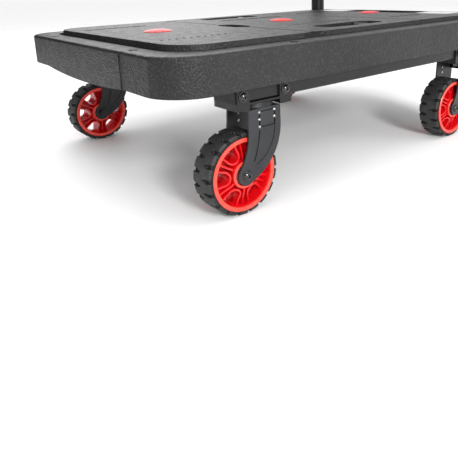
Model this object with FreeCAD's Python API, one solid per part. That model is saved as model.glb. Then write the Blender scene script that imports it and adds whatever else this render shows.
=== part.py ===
"""Platform hand truck: a moulded deck, a steel underframe, four swivel casters and a fold-down handle.

Row frame, in millimetres: the origin is on the floor under the middle of the deck. +X runs along the deck
towards the handle, +Y across it and +Z up. The casters trail towards -X, as when the truck is pushed.
"""
import FreeCAD, Part
import math
import os

Vec = FreeCAD.Vector
Z_AXIS = Vec(0, 0, 1)
Y_AXIS = Vec(0, 1, 0)

# ---- driving dimensions -------------------------------------------------------------------------
DECK_LENGTH = 900.0
DECK_WIDTH = 600.0
DECK_DEPTH = 55.0
DECK_CORNER = 65.0
DECK_WALL = 4.0
RIM_TOP_Z = 244.0
RIM_WIDTH = 46.0
RIM_WALL = 8.0
CHANNEL = (8.0, 5.0)                # width, depth, round the raised panel
PANEL_RAISE = 8.0
PANEL_CORNER = 58.0

WHEEL_RADIUS = 62.5
WHEEL_TRAIL = 36.5
TYRE_HALF_WIDTH = 21.0
RIM_HALF_WIDTH = 22.0
RIM_RADIUS = 54.0
WINDOW_COUNT = 6
FORK_END_RADIUS = 15.0

SWIVEL_Y = 264.0
SWIVEL_X = {"front": -292.0, "rear": 268.0}
FORK_OUTER = 27.5
STEEL_SHEET = 3.0

RAIL_WIDTH = 50.0
RAIL_HEIGHT = 20.0
RAIL_WALL = 2.0
RAIL_FRONT_X = -342.0
RAIL_REAR_X = 424.0
CROSS_WIDTH = 40.0
CROSS_X = {"front": -205.0, "middle": 105.0, "rear": 395.0}

POST_X = 395.0
POST_Y = 274.0
SOCKET_RADIUS = 19.0
HANDLE_TUBE_RADIUS = 16.0
HANDLE_TOP_Z = 976.0
HANDLE_BEND = 90.0
PIVOT_Z = 315.0
PIVOT_RADIUS = 5.0

RUNNING_GAP = 0.05   # radial clearance of a shaft in its bore
BODY_GAP = 0.4       # clearance between faces of parts that move past each other

# ---- heights and places worked out from them ------------------------------------------------------
DECK_BASE_Z = RIM_TOP_Z - DECK_DEPTH
PANEL_TOP_Z = RIM_TOP_Z + PANEL_RAISE
PAN_TOP_Z = DECK_BASE_Z + DECK_WALL
PANEL_HALF_X = DECK_LENGTH / 2 - RIM_WIDTH
PANEL_HALF_Y = DECK_WIDTH / 2 - RIM_WIDTH
RAIL_BASE_Z = DECK_BASE_Z - RAIL_HEIGHT
RAIL_INNER_Y = SWIVEL_Y - RAIL_WIDTH / 2
SADDLE_PLATE_Z = RAIL_BASE_Z - STEEL_SHEET
CROWN_TOP_Z = RAIL_BASE_Z - 11.5
CROWN_BASE_Z = CROWN_TOP_Z - STEEL_SHEET
SKIRT_BASE_Z = CROWN_TOP_Z + 1.0
FORK_INNER = FORK_OUTER - STEEL_SHEET
HUB_Z = WHEEL_RADIUS

# deck features
APRON_HALF_Y = 162.0
APRON_SAG = 7.0
APRON_PROUD = 1.2
DIVISION_X = 150.0
GROOVE = (4.0, 2.2)                # width, depth
SIDE_SLOT = (155.0, 54.0)          # along X, along Y
SIDE_SLOT_Y = 193.0
SIDE_SLOT_CORNER = 17.0
END_POCKET = (70.0, 220.0)
END_POCKET_X = 361.0
END_POCKET_FLOOR_Z = 208.0
FINGER_RECESS = (36.0, 84.0, 6.0)  # along X, along Y, depth
FINGER_RECESS_PLACE = (-149.0, -28.0)
DOME_X = (-300.0, 0.0, 300.0)
DOME_RADIUS = 26.0
DOME_RISE = 4.0
INLAY_DEPTH = 1.5
PAD = (66.0, 84.0)
PAD_CENTRE = (360.0, 160.0)
SCREW_PLACES = [(-430, 170), (430, 170), (-223, 280), (290, 280)]
TIE_BAR_RADIUS = 4.0
TIE_BAR_Z = PANEL_TOP_Z - 6.0
SIDE_TIE_X = 45.0


# ---- small shape helpers ----------------------------------------------------------------------------
def block(x0, x1, y0, y1, z0, z1):
    return Part.makeBox(x1 - x0, y1 - y0, z1 - z0, Vec(x0, y0, z0))


def rod(radius, length, base, axis=Z_AXIS):
    return Part.makeCylinder(radius, length, Vec(*base), axis)


def ring(outer, inner, length, base, axis=Z_AXIS):
    return rod(outer, length, base, axis).cut(rod(inner, length, base, axis))


def fused(shapes):
    whole = shapes[0].multiFuse(shapes[1:]) if len(shapes) > 1 else shapes[0]
    return whole.removeSplitter()


def rounded_wire(half_x, half_y, radius, z, cx=0.0, cy=0.0):
    """A closed rounded rectangle round (cx, cy) at height z."""
    corners = [(1, 1), (-1, 1), (-1, -1), (1, -1)]
    slant = radius * (1 - math.sqrt(0.5))
    stretches = []
    for sx, sy in corners:
        x, y = cx + sx * half_x, cy + sy * half_y
        along_y = Vec(x, y - sy * radius, z)
        along_x = Vec(x - sx * radius, y, z)
        middle = Vec(x - sx * slant, y - sy * slant, z)
        ends = (along_y, along_x) if sx * sy > 0 else (along_x, along_y)
        stretches.append((ends[0], middle, ends[1]))
    edges = []
    for this, following in zip(stretches, stretches[1:] + stretches[:1]):
        edges.append(Part.Arc(*this).toShape())
        if this[2].distanceToPoint(following[0]) > 1e-6:
            edges.append(Part.LineSegment(this[2], following[0]).toShape())
    return Part.Wire(edges)


def rounded_block(half_x, half_y, radius, z0, z1, cx=0.0, cy=0.0):
    wire = rounded_wire(half_x, half_y, radius, z0, cx, cy)
    return Part.Face(wire).extrude(Vec(0, 0, z1 - z0))


def plate_xz(edges, y0, y1):
    """A flat plate whose outline lies in the XZ plane, from y0 to y1."""
    face = Part.Face(Part.Wire(edges))
    face.translate(Vec(0, y0, 0))
    return face.extrude(Vec(0, y1 - y0, 0))


def line_xz(a, b):
    return Part.LineSegment(Vec(a[0], 0, a[1]), Vec(b[0], 0, b[1])).toShape()


def arc_xz(a, b, c):
    return Part.Arc(*[Vec(p[0], 0, p[1]) for p in (a, b, c)]).toShape()


def hexagon(across_flats, length, base, axis):
    """A hexagonal prism from base along axis."""
    radius = across_flats / math.sqrt(3)
    points = [Vec(radius * math.cos(i * math.pi / 3), radius * math.sin(i * math.pi / 3), 0) for i in range(7)]
    prism = Part.Face(Part.makePolygon(points)).extrude(Vec(0, 0, length))
    prism.Placement = FreeCAD.Placement(Vec(*base), FreeCAD.Rotation(Z_AXIS, axis))
    return prism


def box_tube(half_a, half_b, wall, length, along):
    """A rectangular steel tube from the origin along "x" or "y"; half_a is across, half_b is up."""
    outer = rounded_block(half_a, half_b, 3.0, 0, length)
    inner = rounded_block(half_a - wall, half_b - wall, 1.2, 0, length)
    tube = outer.cut(inner)
    if along == "x":
        turn = FreeCAD.Rotation(Vec(0, 1, 0), Vec(0, 0, 1), Vec(1, 0, 0), "XZY")
    else:
        turn = FreeCAD.Rotation(Vec(1, 0, 0), Vec(0, 0, 1), Vec(0, 1, 0), "XZY")
    tube.Placement = FreeCAD.Placement(Vec(0, 0, 0), turn)
    return tube


def dome_cap(radius, rise, x, y, z):
    """A low spherical cap standing on z."""
    sphere_radius = (radius ** 2 + rise ** 2) / (2 * rise)
    ball = Part.makeSphere(sphere_radius, Vec(x, y, z + rise - sphere_radius))
    return ball.common(rod(radius, rise + 1, (x, y, z)))


# ---- deck ---------------------------------------------------------------------------------------
def side_slot(grow, z0, z1):
    half_x, half_y = SIDE_SLOT[0] / 2 + grow, SIDE_SLOT[1] / 2 + grow
    corner = SIDE_SLOT_CORNER + grow
    return [rounded_block(half_x, half_y, corner, z0, z1, 0, s * SIDE_SLOT_Y) for s in (-1, 1)]


def end_pocket(grow, z0, z1):
    half_x, half_y = END_POCKET[0] / 2 + grow, END_POCKET[1] / 2 + grow
    return rounded_block(half_x, half_y, 28 + grow, z0, z1, END_POCKET_X, 0)


def screw_places():
    return [(x, s * y) for x, y in SCREW_PLACES for s in (-1, 1)]


def raised_panel(inset, z0, z1):
    """The raised field of the deck, with its drafted edge, grown inwards by inset."""
    foot = rounded_wire(PANEL_HALF_X - inset, PANEL_HALF_Y - inset, PANEL_CORNER, z0)
    top = rounded_wire(PANEL_HALF_X - 2 - inset, PANEL_HALF_Y - 2 - inset, PANEL_CORNER - 2, z1)
    return Part.makeLoft([foot, top], True, True)


def deck_ribs():
    """Inner ribs that tie the deck's top to its base pan."""
    z0, z1 = PAN_TOP_Z, RIM_TOP_Z - DECK_WALL
    inner_x, inner_y = DECK_LENGTH / 2 - DECK_WALL, DECK_WIDTH / 2 - DECK_WALL
    ribs = [block(x - 1.5, x + 1.5, -inner_y, inner_y, z0, z1) for x in (-375, -225, -125, 125, 225)]
    ribs += [block(-inner_x, inner_x, y - 1.5, y + 1.5, z0, z1) for y in (-125, 125)]
    return ribs


def edge_dip(side):
    """The dip in the panel's edge beside the first division line."""
    line, edge = -DIVISION_X, PANEL_HALF_Y
    corners = [(line - 26, edge + 2), (line - 26, edge - 1), (line - 6, edge - 5), (line + 14, edge - 5),
               (line + 26, edge - 1), (line + 26, edge + 2)]
    outline = Part.makePolygon([Vec(x, side * y, RIM_TOP_Z) for x, y in corners + corners[:1]])
    return Part.Face(outline).extrude(Vec(0, 0, PANEL_RAISE + 1))


def panel_channel():
    """The channel round the foot of the raised panel."""
    width, depth = CHANNEL
    outer = rounded_block(PANEL_HALF_X + width, PANEL_HALF_Y + width, PANEL_CORNER + width,
                          RIM_TOP_Z - depth, RIM_TOP_Z + 1)
    panel = rounded_block(PANEL_HALF_X, PANEL_HALF_Y, PANEL_CORNER, RIM_TOP_Z - depth - 1, RIM_TOP_Z + 2)
    return outer.cut(panel)


def end_apron(side):
    """The skirt hangs a little lower in a bow across the middle of each end."""
    face = side * DECK_LENGTH / 2
    half, top, sag = APRON_HALF_Y, DECK_BASE_Z + 6, DECK_BASE_Z - APRON_SAG

    def point(y, z):
        return Vec(face, y, z)

    edges = [Part.Arc(point(-half, DECK_BASE_Z), point(0, sag), point(half, DECK_BASE_Z)).toShape(),
             Part.LineSegment(point(half, DECK_BASE_Z), point(half, top)).toShape(),
             Part.LineSegment(point(half, top), point(-half, top)).toShape(),
             Part.LineSegment(point(-half, top), point(-half, DECK_BASE_Z)).toShape()]
    return Part.Face(Part.Wire(edges)).extrude(Vec(-side * DECK_WALL, 0, 0))


def end_steps(side):
    """Shallow steps that leave the middle of an end proud of its corners."""
    x0, x1 = sorted((side * (DECK_LENGTH / 2 + 1), side * (DECK_LENGTH / 2 - APRON_PROUD)))
    return [block(x0, x1, *sorted((s * APRON_HALF_Y, s * DECK_WIDTH / 2)), DECK_BASE_Z - 1, RIM_TOP_Z - 4)
            for s in (-1, 1)]


def deck_top():
    body = rounded_block(DECK_LENGTH / 2, DECK_WIDTH / 2, DECK_CORNER, DECK_BASE_Z, RIM_TOP_Z)
    brim = [e for e in body.Edges if all(abs(v.Z - RIM_TOP_Z) < 1e-6 for v in e.Vertexes)]
    body = body.makeFillet(5.0, brim)
    foot = [e for e in body.Edges if all(abs(v.Z - DECK_BASE_Z) < 1e-6 for v in e.Vertexes)]
    body = body.makeFillet(1.5, foot)
    body = fused([body, raised_panel(0, RIM_TOP_Z - 1, PANEL_TOP_Z)])

    cavity = rounded_block(DECK_LENGTH / 2 - DECK_WALL, DECK_WIDTH / 2 - DECK_WALL,
                           DECK_CORNER - DECK_WALL, DECK_BASE_Z, RIM_TOP_Z - RIM_WALL)
    upper = rounded_block(PANEL_HALF_X - 6, PANEL_HALF_Y - 6, PANEL_CORNER - 6,
                          RIM_TOP_Z - RIM_WALL - 1, PANEL_TOP_Z - DECK_WALL)
    body = body.cut(fused([cavity, upper]))

    recess_x, recess_y, recess_depth = FINGER_RECESS
    walls = side_slot(DECK_WALL, DECK_BASE_Z, PANEL_TOP_Z - 2)
    walls.append(end_pocket(DECK_WALL, END_POCKET_FLOOR_Z - DECK_WALL, PANEL_TOP_Z - 2))
    walls.append(rounded_block(recess_x / 2 + DECK_WALL, recess_y / 2 + DECK_WALL, recess_x / 2,
                               PANEL_TOP_Z - recess_depth - DECK_WALL, PANEL_TOP_Z - 2, *FINGER_RECESS_PLACE))
    walls += [rod(7.0, RIM_TOP_Z - 2 - PAN_TOP_Z, (x, y, PAN_TOP_Z)) for x, y in screw_places()]
    body = fused([body, *walls, *deck_ribs(), end_apron(-1), end_apron(1)])

    cuts = side_slot(0, DECK_BASE_Z - 1, PANEL_TOP_Z + 1) + end_steps(-1) + end_steps(1)
    cuts.append(end_pocket(0, END_POCKET_FLOOR_Z, PANEL_TOP_Z + 1))
    cuts.append(rounded_block(recess_x / 2, recess_y / 2, recess_x / 2 - 1,
                              PANEL_TOP_Z - recess_depth, PANEL_TOP_Z + 1, *FINGER_RECESS_PLACE))
    cuts += [edge_dip(s) for s in (-1, 1)] + [panel_channel()]
    half, depth = GROOVE[0] / 2, GROOVE[1]
    cuts += [block(x - half, x + half, -PANEL_HALF_Y - 14, PANEL_HALF_Y + 14,
                   PANEL_TOP_Z - depth, PANEL_TOP_Z + 1) for x in (-DIVISION_X, DIVISION_X)]
    cuts += [rod(DOME_RADIUS, INLAY_DEPTH + 1, (x, 0, PANEL_TOP_Z - INLAY_DEPTH)) for x in DOME_X]
    cuts += [rounded_block(PAD[0] / 2, PAD[1] / 2, 8, PANEL_TOP_Z - INLAY_DEPTH, PANEL_TOP_Z + 1,
                           PAD_CENTRE[0], s * PAD_CENTRE[1]) for s in (-1, 1)]
    cuts += [rod(SOCKET_RADIUS + 0.5, DECK_DEPTH + 20, (POST_X, s * POST_Y, DECK_BASE_Z)) for s in (-1, 1)]
    for x, y in screw_places():
        cuts.append(rod(7.0, 3, (x, y, RIM_TOP_Z - 2)))
        cuts.append(rod(2.5, 26, (x, y, RIM_TOP_Z - 26)))
    return body.cut(Part.makeCompound(cuts))


def deck_pan():
    """The flat plate that closes the deck from below."""
    gap = DECK_WALL
    pan = rounded_block(DECK_LENGTH / 2 - gap, DECK_WIDTH / 2 - gap, DECK_CORNER - gap, DECK_BASE_Z, PAN_TOP_Z)
    cuts = side_slot(DECK_WALL, DECK_BASE_Z - 1, PAN_TOP_Z + 1)
    cuts += [rod(SOCKET_RADIUS + 0.5, 10, (POST_X, s * POST_Y, DECK_BASE_Z - 1)) for s in (-1, 1)]
    return pan.cut(Part.makeCompound(cuts))


def dome_inlays():
    seat = PANEL_TOP_Z - INLAY_DEPTH
    domes = []
    for x in DOME_X:
        disc = rod(DOME_RADIUS, INLAY_DEPTH + 0.6, (x, 0, seat))
        domes.append(fused([disc, dome_cap(DOME_RADIUS, DOME_RISE - 0.6, x, 0, PANEL_TOP_Z + 0.6)]))
    return Part.makeCompound(domes)


def smooth_pads():
    return Part.makeCompound([rounded_block(PAD[0] / 2, PAD[1] / 2, 8, PANEL_TOP_Z - INLAY_DEPTH, PANEL_TOP_Z,
                                            PAD_CENTRE[0], s * PAD_CENTRE[1]) for s in (-1, 1)])


def deck_screws():
    screws = []
    for x, y in screw_places():
        head = dome_cap(5.5, 1.8, x, y, RIM_TOP_Z - 2)
        cross = [block(x - 3, x + 3, y - 0.6, y + 0.6, RIM_TOP_Z - 1.2, RIM_TOP_Z + 1),
                 block(x - 0.6, x + 0.6, y - 3, y + 3, RIM_TOP_Z - 1.2, RIM_TOP_Z + 1)]
        screws.append(fused([head, rod(2.5, 22, (x, y, RIM_TOP_Z - 24))]).cut(Part.makeCompound(cross)))
    return Part.makeCompound(screws)


def tie_bars():
    """A round bar across each side slot, for a strap's hook."""
    half_y = SIDE_SLOT[1] / 2
    return Part.makeCompound([rod(TIE_BAR_RADIUS, 2 * half_y, (SIDE_TIE_X, s * SIDE_SLOT_Y - half_y, TIE_BAR_Z),
                                  Y_AXIS) for s in (-1, 1)])


# ---- underframe -----------------------------------------------------------------------------------
def rail(side):
    tube = box_tube(RAIL_WIDTH / 2, RAIL_HEIGHT / 2, RAIL_WALL, RAIL_REAR_X - RAIL_FRONT_X, "x")
    tube.translate(Vec(RAIL_FRONT_X, side * SWIVEL_Y, RAIL_BASE_Z + RAIL_HEIGHT / 2))
    return tube.cut(Part.makeCompound([rod(4.0, 80, (x, side * SWIVEL_Y - 40, SADDLE_BOLT_Z), Y_AXIS)
                                       for x in saddle_bolt_xs()]))


def cross_member(x):
    tube = box_tube(CROSS_WIDTH / 2, RAIL_HEIGHT / 2, RAIL_WALL, 2 * RAIL_INNER_Y, "y")
    tube.translate(Vec(x, -RAIL_INNER_Y, RAIL_BASE_Z + RAIL_HEIGHT / 2))
    return tube


def rail_plugs():
    plugs = []
    for side in (-1, 1):
        for end, outwards in ((RAIL_FRONT_X, -1), (RAIL_REAR_X, 1)):
            mid_z, y = RAIL_BASE_Z + RAIL_HEIGHT / 2, side * SWIVEL_Y
            near, far = sorted((end, end + outwards * 3))
            cap = block(near, far, y - RAIL_WIDTH / 2, y + RAIL_WIDTH / 2, RAIL_BASE_Z, DECK_BASE_Z)
            outer_face_x = end + 3 * outwards
            cap = cap.makeFillet(1.2, [e for e in cap.Edges if abs(e.CenterOfMass.x - outer_face_x) < 0.1])
            near, far = sorted((end, end - outwards * 6))
            half_y, half_z = RAIL_WIDTH / 2 - RAIL_WALL - 0.3, RAIL_HEIGHT / 2 - RAIL_WALL - 0.3
            plugs.append(fused([cap, block(near, far, y - half_y, y + half_y, mid_z - half_z, mid_z + half_z)]))
    return Part.makeCompound(plugs)


# ---- caster seats, fixed to the rails ---------------------------------------------------------------
SADDLE_HALF_X = 50.0
SADDLE_BOLT_X = 39.0
SADDLE_BOLT_Z = RAIL_BASE_Z + 10.0
EAR_WIDTH = 22.0


def saddle_bolt_xs():
    return [x + s * SADDLE_BOLT_X for x in SWIVEL_X.values() for s in (-1, 1)]


def saddle(x, y, outside):
    """A pressed seat under the rail: outside is the sign of Y that faces away from the deck's middle."""
    half_y = RAIL_WIDTH / 2 + STEEL_SHEET
    top = DECK_BASE_Z - 2
    plate = block(x - SADDLE_HALF_X, x + SADDLE_HALF_X, y - half_y, y + half_y, SADDLE_PLATE_Z, RAIL_BASE_Z)

    def flange(x0, x1, side, z0):
        y0, y1 = sorted((y + side * half_y, y + side * (half_y - STEEL_SHEET)))
        return block(x0, x1, y0, y1, z0, top)

    outer = [flange(x - SADDLE_HALF_X, x - SADDLE_HALF_X + EAR_WIDTH, outside, SKIRT_BASE_Z),
             flange(x + SADDLE_HALF_X - EAR_WIDTH, x + SADDLE_HALF_X, outside, SKIRT_BASE_Z)]
    inner = flange(x - SADDLE_HALF_X, x + SADDLE_HALF_X, -outside, SKIRT_BASE_Z)
    lips = [block(x0, x0 + STEEL_SHEET, y - half_y, y + half_y, SKIRT_BASE_Z, RAIL_BASE_Z)
            for x0 in (x - SADDLE_HALF_X, x + SADDLE_HALF_X - STEEL_SHEET)]
    seat = fused([plate, *outer, inner, *lips])
    holes = [rod(6.0, 10, (x, y, SADDLE_PLATE_Z - 2))]
    holes += [rod(4.0, 80, (x + s * SADDLE_BOLT_X, y - 40, SADDLE_BOLT_Z), Y_AXIS) for s in (-1, 1)]
    return seat.cut(Part.makeCompound(holes))


def saddle_bolts():
    """Through bolts of the four seats, each with its domed head outside and its nut inside."""
    bolts = []
    half_y = RAIL_WIDTH / 2 + STEEL_SHEET
    for side in (-1, 1):
        for x in saddle_bolt_xs():
            face = side * (SWIVEL_Y + half_y)
            back = side * (SWIVEL_Y - half_y)
            outwards = Vec(0, side, 0)
            shank = rod(4.0, 2 * half_y + 8, (x, back - side * 8, SADDLE_BOLT_Z), outwards)
            washer = rod(8.0, 1.2, (x, face, SADDLE_BOLT_Z), outwards)
            head = Part.makeSphere(7.6, Vec(x, face - side * 2.2, SADDLE_BOLT_Z))
            head = head.common(rod(7.2, 6, (x, face + side * 1.2, SADDLE_BOLT_Z), outwards))
            socket = hexagon(4.0, 3, (x, face + side * 3.4, SADDLE_BOLT_Z), outwards)
            nut = hexagon(12.0, 6, (x, back, SADDLE_BOLT_Z), Vec(0, -side, 0))
            bolts.append(fused([shank, washer, head, nut]).cut(socket))
    return Part.makeCompound(bolts)


BALL_RADIUS = 1.7
KINGPIN_RADIUS = 6.0
BALL_CIRCLE = 14.0
LOWER_RACE_TOP_Z = CROWN_TOP_Z + 2.0
UPPER_RACE_BASE_Z = LOWER_RACE_TOP_Z + 2 * BALL_RADIUS + 0.1


def swivel_race(x, y):
    """The upper race: a disc on the seat with a skirt that covers the balls."""
    disc = ring(24.6, 6.0, SADDLE_PLATE_Z - UPPER_RACE_BASE_Z, (x, y, UPPER_RACE_BASE_Z))
    skirt = ring(24.6, 22.0, UPPER_RACE_BASE_Z - CROWN_TOP_Z - BODY_GAP, (x, y, CROWN_TOP_Z + BODY_GAP))
    return fused([disc, skirt])


def each_caster():
    """(name, swivel x, swivel y, outward sign) of the four casters."""
    for end, x in SWIVEL_X.items():
        for side, name in ((-1, "right"), (1, "left")):
            yield f"{end}_{name}", x, side * SWIVEL_Y, side


def swivel_balls():
    count = 16
    balls = []
    for _, x, y, _ in each_caster():
        for i in range(count):
            turn = 2 * math.pi * i / count
            centre = Vec(x + BALL_CIRCLE * math.cos(turn), y + BALL_CIRCLE * math.sin(turn),
                         LOWER_RACE_TOP_Z + BALL_RADIUS + 0.1)
            balls.append(Part.makeSphere(BALL_RADIUS, centre))
    return Part.makeCompound(balls)


def kingpins():
    """Each kingpin is riveted flush into its seat and ends in a nut under the fork's crown."""
    pins = []
    for _, x, y, _ in each_caster():
        nut_top = CROWN_BASE_Z - BODY_GAP
        shank = rod(6.0, RAIL_BASE_Z - nut_top + 8, (x, y, nut_top - 8))
        nut = hexagon(17.0, 6.5, (x, y, nut_top - 8), Z_AXIS)
        washer = rod(11.0, 1.5, (x, y, nut_top - 1.5))
        pins.append(fused([shank, nut, washer]))
    return Part.makeCompound(pins)


# ---- fork, modelled at the origin and then moved to its swivel axis ---------------------------------
def hub_point(angle):
    turn = math.radians(angle)
    return (-WHEEL_TRAIL + FORK_END_RADIUS * math.cos(turn), HUB_Z + FORK_END_RADIUS * math.sin(turn))


def fork_leg(y0, y1):
    top = CROWN_TOP_Z
    shoulder_rear, shoulder_front = (29.0, 135.0), (-32.0, 112.0)
    edges = [line_xz((29.0, top), (-29.0, top)), line_xz((-29.0, top), shoulder_front),
             arc_xz(shoulder_front, (-38.0, 90.0), hub_point(135)),
             arc_xz(hub_point(135), hub_point(225), hub_point(315)),
             arc_xz(hub_point(315), (13.5, 82.0), shoulder_rear), line_xz(shoulder_rear, (29.0, top))]
    return plate_xz(edges, y0, y1)


def leg_emboss(y0, y1):
    """The tongue that is pressed into a leg's outer face."""
    edges = [line_xz((18.0, 128.0), (-11.0, 128.0)), arc_xz((-11.0, 128.0), (-15.5, 104.0), (-24.0, 82.0)),
             arc_xz((-24.0, 82.0), (-20.0, 75.5), (-13.0, 77.0)), arc_xz((-13.0, 77.0), (10.0, 99.0), (18.0, 128.0))]
    return plate_xz(edges, y0, y1)


def leg_grooves(y0, y1):
    """The deep crease beside the tongue, and the grooved square above it."""
    crease = [arc_xz((-9.6, 126.0), (-13.2, 104.0), (-20.6, 82.0)),
              arc_xz((-20.6, 82.0), (-23.2, 80.4), (-24.6, 82.6)),
              arc_xz((-24.6, 82.6), (-17.0, 104.0), (-13.2, 126.0)),
              line_xz((-13.2, 126.0), (-9.6, 126.0))]
    frame = block(-12.5, 18.5, y0, y1, 129.0, 154.5).cut(block(-9.7, 15.7, y0, y1, 132.2, 152.0))
    return [plate_xz(crease, y0, y1), frame]


RIVET_PLACES = [(-11.0, 152.0), (17.0, 152.0), (-11.0, 141.5), (17.0, 141.5), (-11.0, 130.6)]


def fork():
    crown = block(-29, 29, -FORK_OUTER, FORK_OUTER, CROWN_BASE_Z, CROWN_TOP_Z)
    legs, pressed = [], []
    for side in (-1, 1):
        inner, outer = sorted((side * FORK_INNER, side * FORK_OUTER))
        legs.append(fork_leg(inner, outer))
        pressed.append(leg_emboss(*sorted((side * (FORK_OUTER - 0.8), side * (FORK_OUTER + 1)))))
        pressed += leg_grooves(*sorted((side * (FORK_OUTER - 2.0), side * (FORK_OUTER + 1))))
    race = ring(20.0, 8.0, LOWER_RACE_TOP_Z - CROWN_TOP_Z, (0, 0, CROWN_TOP_Z))
    web = block(25.5, 28.5, -FORK_INNER - 1, FORK_INNER + 1, CROWN_TOP_Z - 22, CROWN_TOP_Z)
    body = fused([crown, *legs, race, web])
    holes = [rod(KINGPIN_RADIUS + RUNNING_GAP, 20, (0, 0, CROWN_BASE_Z - 5)),
             rod(5.0, 80, (-WHEEL_TRAIL, -40, HUB_Z), Y_AXIS), *pressed]
    holes += [rod(1.6, 80, (x, -40, z), Y_AXIS) for x, z in RIVET_PLACES]
    return body.cut(Part.makeCompound(holes))


def fork_rivets():
    """The rivets through each leg."""
    rivets = []
    for side in (-1, 1):
        outwards = Vec(0, side, 0)
        for x, z in RIVET_PLACES:
            shank = rod(1.6, STEEL_SHEET, (x, side * FORK_INNER, z), outwards)
            head = Part.makeSphere(2.6, Vec(x, side * (FORK_OUTER - 1.0), z))
            head = head.common(rod(2.6, 4, (x, side * FORK_OUTER, z), outwards))
            tail = rod(2.2, 0.8, (x, side * (FORK_INNER - 0.8), z), outwards)
            rivets.append(fused([shank, head, tail]))
    return Part.makeCompound(rivets)


def axle(outside):
    """The wheel's bolt: its domed head is on the side that outside points to, its nut on the other."""
    x, z = -WHEEL_TRAIL, HUB_Z
    face = outside * FORK_OUTER
    outwards, inwards = Vec(0, outside, 0), Vec(0, -outside, 0)
    shank = rod(5.0, 2 * FORK_OUTER + 8.5, (x, face, z), inwards)
    head = Part.makeSphere(9.0, Vec(x, face - outside * 3.6, z)).common(rod(8.0, 8, (x, face, z), outwards))
    socket = hexagon(5.0, 3, (x, face + outside * 3.4, z), outwards)
    nut = hexagon(15.0, 7.0, (x, -face, z), inwards)
    return fused([shank, head, nut]).cut(socket)


# ---- wheel, modelled round its own centre ------------------------------------------------------------
def bearings():
    seats = [14.0, -RIM_HALF_WIDTH]
    return Part.makeCompound([ring(13.0, 5.0 + RUNNING_GAP, 8.0, (0, y, 0), Y_AXIS) for y in seats])


def hub_caps():
    caps = []
    for y, step in ((RIM_HALF_WIDTH, 0), (-RIM_HALF_WIDTH - 2, 0)):
        caps.append(ring(19.0, 6.5, 2.0, (0, y + step, 0), Y_AXIS))
    return Part.makeCompound(caps)


def polar(radius, angle):
    return (radius * math.cos(angle), radius * math.sin(angle))


def wheel_window(middle, y0, y1):
    """A window that is round towards the hub and follows the rim on its outer side."""
    spread, outer, inner, nose = math.radians(16.5), 46.5, 35.0, 9.5
    side = math.radians(100)
    corner_a, corner_b = polar(outer, middle - spread), polar(outer, middle + spread)
    centre = polar(inner, middle)
    nose_a = [centre[0] + polar(nose, middle - side)[0], centre[1] + polar(nose, middle - side)[1]]
    nose_b = [centre[0] + polar(nose, middle + side)[0], centre[1] + polar(nose, middle + side)[1]]
    tip = polar(inner - nose, middle)
    edges = [arc_xz(corner_a, polar(outer, middle), corner_b), line_xz(corner_b, nose_b),
             arc_xz(nose_b, tip, nose_a), line_xz(nose_a, corner_a)]
    return plate_xz(edges, y0, y1)


def spoke_pocket(middle, side, y0, y1):
    """One of the two narrow pockets in a spoke's face, beside the spoke's middle rib."""
    start, end = math.radians(2.2), math.radians(9.5)
    a, b = polar(45.0, middle + side * start), polar(45.0, middle + side * end)
    c, d = polar(23.0, middle + side * math.radians(14.0)), polar(23.0, middle + side * math.radians(4.5))
    return plate_xz([line_xz(a, b), line_xz(b, c), line_xz(c, d), line_xz(d, a)], y0, y1)


def wheel_rim():
    web_half = 12.0
    parts = [ring(RIM_RADIUS, 47.0, 2 * RIM_HALF_WIDTH, (0, -RIM_HALF_WIDTH, 0), Y_AXIS),
             ring(48.0, 16.0, 2 * web_half, (0, -web_half, 0), Y_AXIS),
             ring(19.0, 6.0, 2 * RIM_HALF_WIDTH, (0, -RIM_HALF_WIDTH, 0), Y_AXIS)]
    body = fused(parts)
    cuts = [rod(13.0, 8.0, (0, y, 0), Y_AXIS) for y in (14.0, -RIM_HALF_WIDTH)]
    step = 2 * math.pi / WINDOW_COUNT
    for i in range(WINDOW_COUNT):
        middle = i * step
        cuts.append(wheel_window(middle, -web_half - 1, web_half + 1))
        for side in (-1, 1):
            spoke = middle + step / 2
            cuts.append(spoke_pocket(spoke, side, web_half - 8, web_half + 1))
            cuts.append(spoke_pocket(spoke, side, -web_half - 1, -web_half + 8))
    return body.cut(Part.makeCompound(cuts))


def tyre():
    half, shoulder = TYRE_HALF_WIDTH, 4.5
    inner, outer = RIM_RADIUS, WHEEL_RADIUS
    slant = shoulder * (1 - math.sqrt(0.5))
    corner = half - shoulder

    def point(radius, y):
        return Vec(radius, y, 0)

    edges = [Part.LineSegment(point(inner, -half), point(outer - shoulder, -half)).toShape(),
             Part.Arc(point(outer - shoulder, -half), point(outer - slant, -half + slant),
                      point(outer, -corner)).toShape(),
             Part.LineSegment(point(outer, -corner), point(outer, corner)).toShape(),
             Part.Arc(point(outer, corner), point(outer - slant, half - slant),
                      point(outer - shoulder, half)).toShape(),
             Part.LineSegment(point(outer - shoulder, half), point(inner, half)).toShape(),
             Part.LineSegment(point(inner, half), point(inner, -half)).toShape()]
    return Part.Face(Part.Wire(edges)).revolve(Vec(0, 0, 0), Y_AXIS, 360)


# ---- handle -----------------------------------------------------------------------------------------
CHEEK = 5.0
CHEEK_GAP = 13.0
SOCKET_TOP_Z = PIVOT_Z - 26.0
LEG_BASE_Z = PIVOT_Z + 27.0
TONGUE_HALF = CHEEK_GAP / 2 - 0.3


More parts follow.
